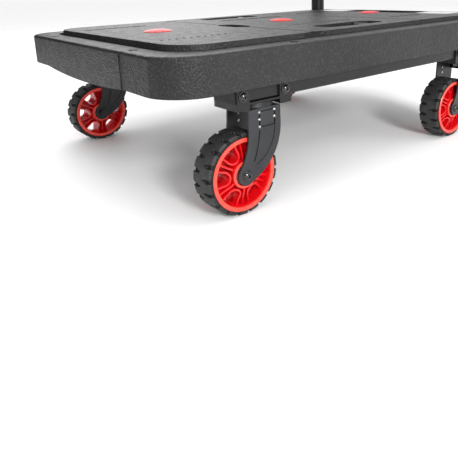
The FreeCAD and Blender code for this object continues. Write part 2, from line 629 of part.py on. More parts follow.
def handle_socket(side):
    """A tube that stands on the rail and carries the two cheeks of the fold joint."""
    y = side * POST_Y
    tube = ring(SOCKET_RADIUS, SOCKET_RADIUS - 2.5, SOCKET_TOP_Z - DECK_BASE_Z, (POST_X, y, DECK_BASE_Z))
    lid = rod(SOCKET_RADIUS, 4.0, (POST_X, y, SOCKET_TOP_Z - 4))
    cheeks = []
    for s in (-1, 1):
        y0, y1 = sorted((y + s * CHEEK_GAP / 2, y + s * (CHEEK_GAP / 2 + CHEEK)))
        cheeks.append(block(POST_X - 14, POST_X + 14, y0, y1, SOCKET_TOP_Z - 2, PIVOT_Z))
        cheeks.append(rod(14.0, CHEEK, (POST_X, y0, PIVOT_Z), Y_AXIS))
    body = fused([tube, lid, *cheeks])
    return body.cut(rod(PIVOT_RADIUS, 60, (POST_X, y - 30, PIVOT_Z), Y_AXIS))


def pivot_bolts():
    """Each pivot bolt has its head on the outer cheek and its thread in the clamp knob."""
    bolts = []
    for side in (-1, 1):
        outer_face = side * (POST_Y + CHEEK_GAP / 2 + CHEEK)
        inwards = Vec(0, -side, 0)
        shank = rod(PIVOT_RADIUS, CHEEK_GAP + 2 * CHEEK + 14, (POST_X, outer_face, PIVOT_Z), inwards)
        head = hexagon(15.0, 5.5, (POST_X, outer_face, PIVOT_Z), Vec(0, side, 0))
        bolts.append(fused([shank, head]))
    return Part.makeCompound(bolts)


def clamp_knob(side):
    """A five-lobed knob on the inner end of a pivot bolt."""
    face = side * (POST_Y - CHEEK_GAP / 2 - CHEEK - 0.5)
    inwards = Vec(0, -side, 0)
    core = rod(15.0, 16.0, (POST_X, face, PIVOT_Z), inwards)
    collar = rod(10.0, 4.0, (POST_X, face, PIVOT_Z), inwards)
    lobes = []
    for i in range(5):
        turn = 2 * math.pi * i / 5 + math.pi / 2
        place = (POST_X + 15 * math.cos(turn), face - side * 4, PIVOT_Z + 15 * math.sin(turn))
        lobes.append(rod(6.0, 12.0, place, inwards))
    body = fused([core, collar, *lobes])
    return body.cut(rod(PIVOT_RADIUS + RUNNING_GAP, 15.0, (POST_X, face, PIVOT_Z), inwards))


def handle_tongues():
    """The solid end of each handle leg: a shank inside the tube and a flat tongue on the pivot."""
    tongues = []
    for side in (-1, 1):
        y = side * POST_Y
        shank = rod(HANDLE_TUBE_RADIUS - 2, 28.0, (POST_X, y, LEG_BASE_Z))
        collar = rod(HANDLE_TUBE_RADIUS, 4.0, (POST_X, y, LEG_BASE_Z - 4))
        flat = block(POST_X - 12, POST_X + 12, y - TONGUE_HALF, y + TONGUE_HALF, PIVOT_Z, LEG_BASE_Z - 2)
        eye = rod(12.0, 2 * TONGUE_HALF, (POST_X, y - TONGUE_HALF, PIVOT_Z), Y_AXIS)
        body = fused([shank, collar, flat, eye])
        tongues.append(body.cut(rod(PIVOT_RADIUS + RUNNING_GAP, 60, (POST_X, y - 30, PIVOT_Z), Y_AXIS)))
    return Part.makeCompound(tongues)


def handle_path():
    top = HANDLE_TOP_Z - HANDLE_TUBE_RADIUS
    bend, slant = HANDLE_BEND, HANDLE_BEND * (1 - math.sqrt(0.5))

    def point(y, z):
        return Vec(POST_X, y, z)

    return Part.Wire([
        Part.LineSegment(point(-POST_Y, LEG_BASE_Z), point(-POST_Y, top - bend)).toShape(),
        Part.Arc(point(-POST_Y, top - bend), point(-POST_Y + slant, top - slant),
                 point(-POST_Y + bend, top)).toShape(),
        Part.LineSegment(point(-POST_Y + bend, top), point(POST_Y - bend, top)).toShape(),
        Part.Arc(point(POST_Y - bend, top), point(POST_Y - slant, top - slant),
                 point(POST_Y, top - bend)).toShape(),
        Part.LineSegment(point(POST_Y, top - bend), point(POST_Y, LEG_BASE_Z)).toShape()])


def swept_tube(path, radius):
    start = Vec(POST_X, -POST_Y, LEG_BASE_Z)
    circle = Part.Wire([Part.makeCircle(radius, start, Z_AXIS)])
    return path.makePipeShell([circle], True, False)


def handle_tube():
    path = handle_path()
    return swept_tube(path, HANDLE_TUBE_RADIUS).cut(swept_tube(path, HANDLE_TUBE_RADIUS - 2.0))


GRIP_HALF = 150.0
GRIP_RADIUS = 20.0


def handle_grip():
    top = HANDLE_TOP_Z - HANDLE_TUBE_RADIUS
    sleeve = ring(GRIP_RADIUS, HANDLE_TUBE_RADIUS, 2 * GRIP_HALF, (POST_X, -GRIP_HALF, top), Y_AXIS)
    return sleeve


# ---- write every node --------------------------------------------------------------------------------
def moved(shape, x, y, z=0.0):
    shape = shape.copy()
    shape.translate(Vec(x, y, z))
    return shape


def all_nodes():
    nodes = {
        "deck_top": deck_top(), "deck_base_pan": deck_pan(), "dome_inlays": dome_inlays(),
        "smooth_pads": smooth_pads(), "deck_screws": deck_screws(), "tie_bars": tie_bars(),
        "rail_right": rail(-1), "rail_left": rail(1), "rail_end_plugs": rail_plugs(),
        "saddle_bolts": saddle_bolts(), "swivel_balls": swivel_balls(), "kingpins": kingpins(),
        "handle_socket_right": handle_socket(-1), "handle_socket_left": handle_socket(1),
        "pivot_bolts": pivot_bolts(), "clamp_knob_right": clamp_knob(-1), "clamp_knob_left": clamp_knob(1),
        "handle_tongues": handle_tongues(), "handle_tube": handle_tube(), "handle_grip": handle_grip(),
    }
    for name, x in CROSS_X.items():
        nodes[f"cross_member_{name}"] = cross_member(x)
    shared = {"fork": fork(), "fork_rivets": fork_rivets()}
    wheel = {"wheel_bearings": bearings(), "hub_caps": hub_caps(), "wheel_rim": wheel_rim(), "tyre": tyre()}
    for name, x, y, outside in each_caster():
        nodes[f"saddle_{name}"] = saddle(x, y, outside)
        nodes[f"swivel_race_{name}"] = swivel_race(x, y)
        for part, shape in shared.items():
            nodes[f"{part}_{name}"] = moved(shape, x, y)
        nodes[f"axle_{name}"] = moved(axle(outside), x, y)
        for part, shape in wheel.items():
            nodes[f"{part}_{name}"] = moved(shape, x - WHEEL_TRAIL, y, HUB_Z)
    return nodes


os.makedirs("parts", exist_ok=True)
for node, solid in all_nodes().items():
    if not solid.isValid():
        print("not valid:", node)
    solid.exportStep(f"parts/{node}.step")
    print(f"{node:28s} solids {len(solid.Solids):3d}  volume {solid.Volume / 1000:10.2f} cm3")
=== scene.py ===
import math

import bmesh
import bpy
from mathutils import Matrix, Vector


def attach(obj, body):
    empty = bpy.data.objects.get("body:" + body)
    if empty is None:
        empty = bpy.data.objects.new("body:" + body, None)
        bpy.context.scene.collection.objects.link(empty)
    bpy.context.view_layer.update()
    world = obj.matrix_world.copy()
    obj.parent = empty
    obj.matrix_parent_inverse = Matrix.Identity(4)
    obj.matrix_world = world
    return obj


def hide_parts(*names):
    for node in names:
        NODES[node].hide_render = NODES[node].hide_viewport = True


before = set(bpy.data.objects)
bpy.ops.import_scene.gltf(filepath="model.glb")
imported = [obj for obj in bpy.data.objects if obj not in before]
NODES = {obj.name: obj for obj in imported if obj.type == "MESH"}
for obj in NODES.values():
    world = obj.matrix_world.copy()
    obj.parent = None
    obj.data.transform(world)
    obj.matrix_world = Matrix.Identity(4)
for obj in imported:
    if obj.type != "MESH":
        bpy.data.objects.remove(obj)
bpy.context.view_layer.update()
MM = 0.001

# Places in metres: the casters' swivel axes, the wheels' middles, the deck panel's top and the grip's axis.
CASTER_X = {"front": -0.292, "rear": 0.268}
CASTER_Y = {"right": -0.264, "left": 0.264}
CASTERS = {f"{end}_{side}": (x, y) for end, x in CASTER_X.items() for side, y in CASTER_Y.items()}
WHEEL_TRAIL = 0.0365
HUB_Z = 0.0625
PANEL_TOP = 0.252
POST_X = 0.395
GRIP_Z = 0.960


# ---- materials ---------------------------------------------------------------------------------
# Radii in metres between which the rubber turns from painted shade, near black in the groove bottoms and on
# the lower sidewall, to the tread's grey.
GROOVE_FLOOR_R = 0.0585
GROOVE_LIP_R = 0.0612

# The mix node keeps a socket set for each data type; these are the colour ones.
MIX_A = 6
MIX_B = 7
MIX_RESULT = 2


class Surface:
    """A Principled material and the texture nodes that feed it. Textures run in object space, in metres."""

    def __init__(self, name, metallic=0.0, ior=1.47, coat=0.0, coat_roughness=0.1):
        self.mat = bpy.data.materials.new(name)
        self.mat.use_nodes = True
        self.tree = self.mat.node_tree
        self.shader = self.tree.nodes["Principled BSDF"]
        self.shader.inputs["Metallic"].default_value = metallic
        self.shader.inputs["IOR"].default_value = ior
        self.shader.inputs["Coat Weight"].default_value = coat
        self.shader.inputs["Coat Roughness"].default_value = coat_roughness
        self.place = self.tree.nodes.new("ShaderNodeTexCoord").outputs["Object"]
        self.height = None

    def feed(self, socket, value):
        """Links a node's output to the socket, or sets a constant on it."""
        if isinstance(value, bpy.types.NodeSocket):
            self.tree.links.new(value, socket)
        elif isinstance(value, (tuple, list)) and len(value) == 3 and socket.type == "RGBA":
            socket.default_value = (*value, 1.0)
        else:
            socket.default_value = value

    def stretched(self, stretch):
        if stretch is None:
            return self.place
        node = self.tree.nodes.new("ShaderNodeMapping")
        self.tree.links.new(self.place, node.inputs["Vector"])
        node.inputs["Scale"].default_value = stretch
        return node.outputs["Vector"]

    def noise(self, scale, detail=3.0, roughness=0.55, stretch=None, distortion=0.0):
        node = self.tree.nodes.new("ShaderNodeTexNoise")
        self.tree.links.new(self.stretched(stretch), node.inputs["Vector"])
        node.inputs["Scale"].default_value = scale
        node.inputs["Detail"].default_value = detail
        node.inputs["Roughness"].default_value = roughness
        node.inputs["Distortion"].default_value = distortion
        return node.outputs["Fac"]

    def cells(self, scale, feature="F1"):
        node = self.tree.nodes.new("ShaderNodeTexVoronoi")
        node.feature = feature
        self.tree.links.new(self.place, node.inputs["Vector"])
        node.inputs["Scale"].default_value = scale
        return node.outputs["Distance"]

    def axis(self, name):
        node = self.tree.nodes.new("ShaderNodeSeparateXYZ")
        self.tree.links.new(self.place, node.inputs[0])
        return node.outputs[name]

    def spread(self, value, low, high, to_low=0.0, to_high=1.0):
        """Maps low..high smoothly to to_low..to_high."""
        node = self.tree.nodes.new("ShaderNodeMapRange")
        node.interpolation_type = "SMOOTHSTEP"
        for socket, setting in zip(node.inputs, (value, low, high, to_low, to_high)):
            self.feed(socket, setting)
        return node.outputs["Result"]

    def calc(self, operation, a, b=0.0):
        node = self.tree.nodes.new("ShaderNodeMath")
        node.operation = operation
        self.feed(node.inputs[0], a)
        self.feed(node.inputs[1], b)
        return node.outputs[0]

    def mix(self, factor, a, b):
        node = self.tree.nodes.new("ShaderNodeMix")
        node.data_type = "RGBA"
        self.feed(node.inputs["Factor"], factor)
        self.feed(node.inputs[MIX_A], a)
        self.feed(node.inputs[MIX_B], b)
        return node.outputs[MIX_RESULT]

    def bump(self, height, distance, strength=1.0):
        """Adds a bump on top of the ones before it."""
        node = self.tree.nodes.new("ShaderNodeBump")
        node.inputs["Strength"].default_value = strength
        node.inputs["Distance"].default_value = distance
        self.feed(node.inputs["Height"], height)
        if self.height is not None:
            self.tree.links.new(self.height, node.inputs["Normal"])
        self.height = node.outputs["Normal"]
        self.tree.links.new(self.height, self.shader.inputs["Normal"])

    def finish(self, colour, roughness):
        self.feed(self.shader.inputs["Base Color"], colour)
        self.feed(self.shader.inputs["Roughness"], roughness)
        return self.mat


def moulded_polymer(name, dark, light, roughness, grain=360.0, depth=0.0013):
    """Grained thermoplastic: pebbled skin, faint flow marks, pale specks painted as glints on the grain, and
    handling scuffs.
    """
    s = Surface(name, ior=1.37)
    pebble = s.cells(grain, "SMOOTH_F1")
    fine = s.noise(grain * 2.1, 2.0, 0.6)
    s.bump(s.calc("ADD", pebble, s.calc("MULTIPLY", fine, 0.5)), depth, 0.9)
    s.bump(s.noise(9.0, 2.0), 0.0006, 0.25)
    flow = s.spread(s.noise(6.0, 4.0, 0.6, distortion=0.6), 0.35, 0.7)
    scuff = s.spread(s.noise(38.0, 6.0, 0.72, stretch=(0.25, 1.6, 1.0), distortion=0.8), 0.62, 0.74)
    # painted highlight: pale specks, up to four times the light tone, stand in for glints on the grain
    glint_speck = s.spread(s.noise(grain * 1.3, 2.0, 0.7), 0.54, 0.68)
    colour = s.mix(flow, dark, light)
    colour = s.mix(s.calc("MULTIPLY", glint_speck, 0.6), colour, tuple(min(1.0, c * 4.0) for c in light))
    colour = s.mix(s.calc("MULTIPLY", scuff, 0.22), colour, (0.16, 0.16, 0.16))
    sheen = s.spread(s.noise(60.0, 5.0, 0.65), 0.3, 0.75, roughness - 0.06, roughness + 0.08)
    return s.finish(colour, s.calc("ADD", sheen, s.calc("MULTIPLY", scuff, 0.10)))


def coated_steel(name, dark, light, roughness, coat=0.15):
    """Powder-coated steel: orange peel, slight sheen changes and worn spots."""
    s = Surface(name, ior=1.36, coat=coat, coat_roughness=0.25)
    s.bump(s.noise(520.0, 2.0, 0.5), 0.00012, 0.6)
    s.bump(s.noise(70.0, 3.0), 0.0003, 0.2)
    worn = s.spread(s.noise(55.0, 7.0, 0.75, distortion=1.0), 0.66, 0.74)
    colour = s.mix(s.spread(s.noise(14.0, 4.0), 0.35, 0.7), dark, light)
    colour = s.mix(s.calc("MULTIPLY", worn, 0.35), colour, (0.14, 0.135, 0.13))
    rough = s.spread(s.noise(90.0, 5.0, 0.7), 0.3, 0.75, roughness - 0.07, roughness + 0.12)
    return s.finish(colour, rough)


def plated_steel(name, tint, roughness, coat=0.0):
    """Plated or blacked steel: turning marks, spangle and dull patches."""
    s = Surface(name, metallic=1.0, ior=2.0, coat=coat, coat_roughness=0.08)
    s.bump(s.noise(900.0, 3.0, 0.6, stretch=(1.0, 0.2, 1.0)), 0.00006, 0.5)
    dull = s.spread(s.noise(160.0, 5.0, 0.7), 0.45, 0.7)
    colour = s.mix(dull, tint, tuple(c * 0.62 for c in tint))
    spangle = s.calc("MULTIPLY", s.spread(s.cells(240.0), 0.2, 0.7), 0.25)
    colour = s.mix(spangle, colour, (tint[0] * 0.82, tint[1] * 0.78, tint[2] * 0.64))
    rough = s.spread(s.noise(220.0, 4.0, 0.65), 0.3, 0.75, roughness, roughness + 0.2)
    return s.finish(colour, rough)


def tyre_rubber(name):
    """Matt moulded rubber: grey bloom, dust and fine pores, and painted shade that makes the groove bottoms
    and lower sidewall near black.
    """
    s = Surface(name, ior=1.52)
    s.bump(s.noise(780.0, 3.0, 0.65), 0.00018, 0.7)
    s.bump(s.cells(260.0, "SMOOTH_F1"), 0.00012, 0.35)
    bloom = s.spread(s.noise(42.0, 5.0, 0.7, distortion=0.5), 0.38, 0.72)
    dust = s.spread(s.noise(210.0, 6.0, 0.8), 0.56, 0.72)
    colour = s.mix(bloom, (0.014, 0.014, 0.0145), (0.032, 0.031, 0.030))
    # painted shade: near black inward of GROOVE_FLOOR_R, in the groove bottoms and on the lower sidewall
    squares = [s.calc("MULTIPLY", s.axis(way), s.axis(way)) for way in ("X", "Z")]
    radius = s.calc("SQRT", s.calc("ADD", *squares))
    colour = s.mix(s.spread(radius, GROOVE_FLOOR_R, GROOVE_LIP_R), (0.004, 0.004, 0.004), colour)
    colour = s.mix(s.calc("MULTIPLY", dust, 0.35), colour, (0.105, 0.098, 0.088))
    rough = s.spread(s.noise(120.0, 5.0, 0.7), 0.3, 0.75, 0.58, 0.80)
    return s.finish(colour, rough)


def red_polymer(name, rib_low=None, rib_high=None):
    """Glossy red moulding. Parts more than rib_low to rib_high from the middle plane are paler, a painted
    highlight on the raised rib edges and lips.
    """
    s = Surface(name, ior=1.45, coat=0.12, coat_roughness=0.15)
    s.bump(s.noise(430.0, 2.0, 0.5), 0.00008, 0.5)
    s.bump(s.noise(45.0, 3.0), 0.0003, 0.2)
    tone = s.spread(s.noise(28.0, 4.0, 0.6), 0.35, 0.7)
    colour = s.mix(tone, (0.60, 0.002, 0.005), (0.76, 0.004, 0.009))
    if rib_low is not None:
        # painted highlight: raised parts far from the middle plane turn paler orange-red, broken up by noise
        raised = s.spread(s.calc("ABSOLUTE", s.axis("Y")), rib_low, rib_high)
        rib_highlight = s.calc("MULTIPLY", raised, s.spread(s.noise(150.0, 5.0, 0.7), 0.15, 0.6, 0.30, 0.70))
        colour = s.mix(rib_highlight, colour, (0.80, 0.085, 0.050))
    scuff = s.spread(s.noise(240.0, 6.0, 0.78, distortion=0.7), 0.68, 0.76)
    colour = s.mix(s.calc("MULTIPLY", scuff, 0.3), colour, (0.80, 0.16, 0.13))
    rough = s.spread(s.noise(110.0, 4.0, 0.7), 0.3, 0.75, 0.24, 0.42)
    return s.finish(colour, rough)


def soft_grip(name):
    """Closed-cell foam sleeve: pores and a slightly dusty skin."""
    s = Surface(name, ior=1.45)
    s.shader.inputs["Sheen Weight"].default_value = 0.25
    s.shader.inputs["Sheen Roughness"].default_value = 0.5
    s.bump(s.cells(1100.0, "F1"), 0.00025, 0.7)
    s.bump(s.noise(140.0, 4.0, 0.6), 0.0003, 0.3)
    tone = s.spread(s.noise(30.0, 4.0), 0.35, 0.7)
    colour = s.mix(tone, (0.016, 0.016, 0.017), (0.034, 0.034, 0.035))
    return s.finish(colour, s.spread(s.noise(90.0, 4.0), 0.3, 0.7, 0.72, 0.88))


def smooth_film(name):
    """A smooth pale inlay that mirrors the studio: fine scratches and faint dulling."""
    s = Surface(name, ior=1.5, coat=0.5, coat_roughness=0.08)
    scratch = s.spread(s.noise(60.0, 6.0, 0.75, stretch=(0.15, 2.5, 1.0)), 0.60, 0.72)
    s.bump(scratch, 0.00004, 0.4)
    s.bump(s.noise(300.0, 2.0), 0.00005, 0.3)
    colour = s.mix(s.spread(s.noise(25.0, 4.0), 0.35, 0.7), (0.40, 0.40, 0.40), (0.52, 0.52, 0.52))
    colour = s.mix(s.calc("MULTIPLY", scratch, 0.3), colour, (0.34, 0.34, 0.34))
    return s.finish(colour, s.spread(s.noise(80.0, 5.0, 0.7), 0.3, 0.7, 0.16, 0.34))


# Rib edges that take a painted highlight, in metres from the wheel's middle plane.
RIB_HIGHLIGHT_FROM = 0.0190
RIB_HIGHLIGHT_FULL = 0.0226

DECK = moulded_polymer("deck_polymer", (0.008, 0.008, 0.0083), (0.014, 0.014, 0.0144), 0.40)
DARK = moulded_polymer("dark_polymer", (0.005, 0.005, 0.005), (0.010, 0.010, 0.010), 0.50, 800.0, 0.00015)
STEEL = coated_steel("black_steel", (0.003, 0.003, 0.0035), (0.007, 0.007, 0.008), 0.36, 0.06)
FORK_STEEL = coated_steel("fork_steel", (0.014, 0.0148, 0.017), (0.024, 0.025, 0.028), 0.38, 0.10)
TUBE_STEEL = coated_steel("handle_steel", (0.016, 0.016, 0.017), (0.030, 0.030, 0.032), 0.28, 0.35)
ZINC = plated_steel("plated_steel", (0.62, 0.61, 0.59), 0.20)
BOLT = plated_steel("dark_bolt_steel", (0.045, 0.045, 0.048), 0.12, 0.5)
RIVET = plated_steel("rivet_steel", (0.42, 0.42, 0.43), 0.12)
RUBBER = tyre_rubber("tread_rubber")
RED_WHEEL = red_polymer("red_wheel", RIB_HIGHLIGHT_FROM, RIB_HIGHLIGHT_FULL)
RED_DOME = red_polymer("red_dome")
GRIP = soft_grip("grip_foam")
PALE = smooth_film("smooth_inlay")
HUB_GREY = moulded_polymer("hub_polymer", (0.30, 0.30, 0.29), (0.42, 0.42, 0.41), 0.42, 1100.0, 0.0001)


# ---- mesh helpers ------------------------------------------------------------------------------
def object_from(name, bm, material, smooth=0.6, bevel=None):
    mesh = bpy.data.meshes.new(name)
    bmesh.ops.recalc_face_normals(bm, faces=bm.faces)
    bm.to_mesh(mesh)
    bm.free()
    return dress(bpy.data.objects.new(name, mesh), material, smooth, bevel)


def dress(obj, material, smooth=0.6, bevel=None):
    """Gives an object its material, smooth shading up to an angle in radians, and bevelled edges."""
    obj.data.materials.clear()
    obj.data.materials.append(material)
    for face in obj.data.polygons:
        face.use_smooth = True
    obj.data.set_sharp_from_angle(angle=smooth)
    if not obj.users_collection:
        bpy.context.scene.collection.objects.link(obj)
    if bevel:
        add_bevel(obj, bevel)
    return obj


def add_bevel(obj, width, angle=0.6):
    modifier = obj.modifiers.new("edges", "BEVEL")
    modifier.width = width
    modifier.segments = 2
    modifier.limit_method = "ANGLE"
    modifier.angle_limit = angle
    modifier.harden_normals = True


def join_rings(bm, rings):
    """Skins closed rings of equal length, the last one back to the first."""
    for i, here in enumerate(rings):
        following = rings[(i + 1) % len(rings)]
        for j in range(len(here)):
            k = (j + 1) % len(here)
            bm.faces.new((here[j], here[k], following[k], following[j]))


def turned(bm, profile, steps=96, centre=(0.0, 0.0, 0.0), axis="Y"):
    """Adds the solid of revolution of a closed (radius, along) profile in mm; centre is in metres."""
    rings = []
    for i in range(steps):
        turn = 2 * math.pi * i / steps
        c, s = math.cos(turn), math.sin(turn)
        ring = []
        for radius, along in [(r * MM, a * MM) for r, a in profile]:
            point = (radius * c, along, radius * s) if axis == "Y" else (radius * c, radius * s, along)
            ring.append(bm.verts.new(Vector(point) + Vector(centre)))
        rings.append(ring)
    join_rings(bm, rings)


def strip(bm, left, right, heights):
    """A wall between two lines in the XZ plane, in metres; each point reaches from -height to +height in Y."""
    rows = []
    for (lx, lz), (rx, rz), h in zip(left, right, heights):
        rows.append([bm.verts.new(p) for p in ((lx, h, lz), (rx, h, rz), (rx, -h, rz), (lx, -h, lz))])
    for a, b in zip(rows, rows[1:]):
        for j in range(4):
            k = (j + 1) % 4
            bm.faces.new((a[j], a[k], b[k], b[j]))
    bm.faces.new(rows[0])
    bm.faces.new(list(reversed(rows[-1])))


def box(bm, centre, half, turn=0.0):
    """A box with the given half sizes, turned about Z."""
    spin = Matrix.Rotation(turn, 3, "Z")
    corners = []
    for sz in (-1, 1):
        for sx, sy in ((-1, -1), (1, -1), (1, 1), (-1, 1)):
            corner = Vector((sx * half[0], sy * half[1], sz * half[2]))
            corners.append(bm.verts.new(Vector(centre) + spin @ corner))
    for face in ((3, 2, 1, 0), (4, 5, 6, 7), (0, 1, 5, 4), (1, 2, 6, 5), (2, 3, 7, 6), (3, 0, 4, 7)):
        bm.faces.new([corners[i] for i in face])


# ---- tyre (mm) ---------------------------------------------------------------------------------
LUGS = 18
LUG_STEPS = 26
TYRE_R = 62.5
BEAD_R = 53.9
SIDEWALL_R = 57.0
TREAD_HALF = 17
SHOULDER_FROM = 7.5
SHOULDER_TO = 20.3
RIB_HALF = 2.4
SHOULDER_DEPTH = 4.6
SIDEWALL_DEPTH = 2.4
SIPE_DEPTH = 3.2
GAP_START = 0.70
GAP_RAMP = 0.05
GAP_SLANT = 0.004


def tyre_profile():
    """(radius, y) points from one bead over the tread to the other."""
    side = [(BEAD_R, -19.6), (54.6, -20.6), (55.8, -20.9), (56.9, -20.9), (57.3, -21.0), (58.6, -21.0),
            (59.8, -20.8), (60.9, -20.3), (61.8, -19.4), (62.3, -18.2)]
    tread = [(TYRE_R, float(y)) for y in range(-TREAD_HALF, TREAD_HALF + 1)]
    return side + tread + [(r, -y) for r, y in reversed(side)]


def groove_depth(theta, radius, y):
    """How deep the tread is cut at a place; the lugs of the two sides are staggered by half a pitch."""
    offset = 0.0 if y < 0 else 0.5
    across = abs(y)
    phase = (theta * LUGS / (2 * math.pi) + offset + GAP_SLANT * max(across - 8.0, 0.0)) % 1.0
    if radius < SIDEWALL_R or across <= RIB_HALF:
        return 0.0
    if across >= SHOULDER_TO:
        return SIDEWALL_DEPTH * (phase > 0.73)
    if across > SHOULDER_FROM:
        return SHOULDER_DEPTH * min(max((phase - GAP_START) / GAP_RAMP, 0.0), 1.0)
    return SIPE_DEPTH if 0.80 < phase < 0.97 - 0.02 * (SHOULDER_FROM - across) else 0.0


def outward(profile):
    """The outward direction at each point of a profile."""
    slopes = []
    for i in range(len(profile)):
        a = profile[max(i - 1, 0)]
        b = profile[min(i + 1, len(profile) - 1)]
        dr, dy = b[0] - a[0], b[1] - a[1]
        size = math.hypot(dr, dy)
        slopes.append((dy / size, -dr / size))
    return slopes


def tyre_mesh():
    """The profile swept round the axle, with the grooves cut in along its outward directions."""
    profile = tyre_profile()
    slopes = outward(profile)
    bm = bmesh.new()
    rings = []
    total = LUGS * LUG_STEPS
    for i in range(total):
        theta = 2 * math.pi * i / total
        ring = []
        for (radius, y), (out_r, out_y) in zip(profile, slopes):
            depth = groove_depth(theta, radius, y)
            r = (radius - out_r * depth) * MM
            along = (y - out_y * depth) * MM
            ring.append(bm.verts.new((r * math.cos(theta), along, r * math.sin(theta))))
        inner = BEAD_R * MM
        ring.append(bm.verts.new((inner * math.cos(theta), 0.0, inner * math.sin(theta))))
        rings.append(ring)
    join_rings(bm, rings)
    return bm


# ---- wheel rim (mm) ----------------------------------------------------------------------------
WINDOWS = 6
WINDOW_R = 46.9
NOSE_PLACE = 34.8
NOSE_R = 9.4
WINDOW_EDGE = 2.7
RIB_AT_HUB = 19.5
RIB_DROP = 6.5
WEB_HALF = 3.0
WEB_R = 47.2
WEB_BORE_R = 17.0
SPOKE_HALF = 1.25
SPOKE_BELOW_RIB = 0.8
RIM_BEVEL = 0.6 * MM
BARREL = [(BEAD_R, 0.0), (BEAD_R, 19.4), (54.3, 20.9), (55.2, 21.4), (55.3, 22.0), (54.7, 22.6), (50.4, 22.7),
          (49.3, 22.2), (48.7, 21.2), (48.2, 14.0), (47.4, 7.4), (46.7, 5.2), (46.5, 2.0)]
HUB = [(5.4, 15.0), (15.2, 15.0), (15.8, 15.6), (16.2, 22.2), (16.8, 22.9), (19.6, 22.9), (20.3, 22.2),
       (21.4, 3.0)]
SEAL = [(6.6, 14.0), (15.0, 14.0), (15.0, 17.2), (14.2, 17.8), (10.6, 17.8), (10.2, 17.2), (9.6, 17.2),
        (9.4, 23.4), (8.8, 23.9), (6.6, 23.9)]


def rib_height(radius):
    """Half width of the ribs: wide at the hub and sloping down to the barrel."""
    share = min(max((radius - 24.0) / 22.0, 0.0), 1.0)
    return RIB_AT_HUB - RIB_DROP * share


def window_line(grow):
    """The window's U as (radial, sideways) points: open towards the rim, round towards the hub."""
    nose = NOSE_R + grow
    points = [(WINDOW_R, 12.9 + grow), (40.5, 11.2 + grow)]
    for a in range(90, 271, 15):
        points.append((NOSE_PLACE + nose * math.cos(math.radians(a)), nose * math.sin(math.radians(a))))
    return points + [(40.5, -11.2 - grow), (WINDOW_R, -12.9 - grow)]


def spun(points, angle):
    """Points in mm turned about the axle, in metres."""
    c, s = math.cos(angle), math.sin(angle)
    return [((x * c - t * s) * MM, (x * s + t * c) * MM) for x, t in points]


def arc(radius, angles):
    return [(radius * math.cos(a), radius * math.sin(a)) for a in angles]


def web_disc():
    """The wheel's thin web with its windows cut through."""
    curve = bpy.data.curves.new("web", "CURVE")
    curve.dimensions = "2D"
    curve.fill_mode = "BOTH"
    curve.extrude = WEB_HALF * MM
    outlines = []
    for radius, steps in ((WEB_R, 144), (WEB_BORE_R, 72)):
        outlines.append(spun(arc(radius, [2 * math.pi * i / steps for i in range(steps)]), 0.0))
    rim = arc(WINDOW_R, [math.radians(a) for a in (-11, -5, 0, 5, 11)])
    for i in range(WINDOWS):
        outlines.append(spun(window_line(0.0) + rim, 2 * math.pi * i / WINDOWS))
    for outline in outlines:
        spline = curve.splines.new("POLY")
        spline.points.add(len(outline) - 1)
        for point, (x, z) in zip(spline.points, outline):
            point.co = (x, z, 0.0, 1.0)
        spline.use_cyclic_u = True
    holder = bpy.data.objects.new("web", curve)
    bpy.context.scene.collection.objects.link(holder)
    bpy.context.view_layer.update()
    mesh = bpy.data.meshes.new_from_object(holder.evaluated_get(bpy.context.evaluated_depsgraph_get()))
    bpy.data.objects.remove(holder)
    mesh.transform(Matrix.Rotation(math.radians(90), 4, "X"))
    return mesh


def mirrored(half):
    """A profile closed by its mirror image; a point on the middle plane is not repeated."""
    return half + [(r, -y) for r, y in reversed(half) if y != 0.0]


def rim_mesh():
    """Web, barrel and hub, with a raised rib round each window and a thin spoke between windows."""
    bm = bmesh.new()
    web = web_disc()
    bm.from_mesh(web)
    bpy.data.meshes.remove(web)
    bmesh.ops.remove_doubles(bm, verts=bm.verts, dist=1e-6)
    turned(bm, mirrored(BARREL), 144)
    turned(bm, mirrored(HUB), 96)
    for i in range(WINDOWS):
        turn = 2 * math.pi * i / WINDOWS
        inner, outer = window_line(0.0), window_line(WINDOW_EDGE)
        heights = [rib_height(math.hypot(x, t)) * MM for x, t in outer]
        strip(bm, spun(inner, turn), spun(outer, turn), heights)
        spoke = turn + math.pi / WINDOWS
        radii = (19.5, 24.0, 30.0, 36.0, 42.0, 47.0)
        left = spun([(r, SPOKE_HALF) for r in radii], spoke)
        right = spun([(r, -SPOKE_HALF) for r in radii], spoke)
        strip(bm, left, right, [(rib_height(r) - SPOKE_BELOW_RIB) * MM for r in radii])
    return bm


def bearing_mesh():
    """The pale spacer and seal seen in the hub's mouth, on both sides."""
    bm = bmesh.new()
    for sign in (1, -1):
        turned(bm, [(r, sign * y) for r, y in SEAL], 64)
    return bm


# One mesh of each kind is made here and shared by the four wheels.
tyre_object = object_from("tyre_master", tyre_mesh(), RUBBER, smooth=0.5)
rim_object = object_from("rim_master", rim_mesh(), RED_WHEEL)
seal_object = object_from("seal_master", bearing_mesh(), HUB_GREY)
for master in (tyre_object, rim_object, seal_object):
    bpy.context.scene.collection.objects.unlink(master)


def copy_of(master, name, at):
    obj = bpy.data.objects.new(name, master.data)
    bpy.context.scene.collection.objects.link(obj)
    obj.location = at
    return obj


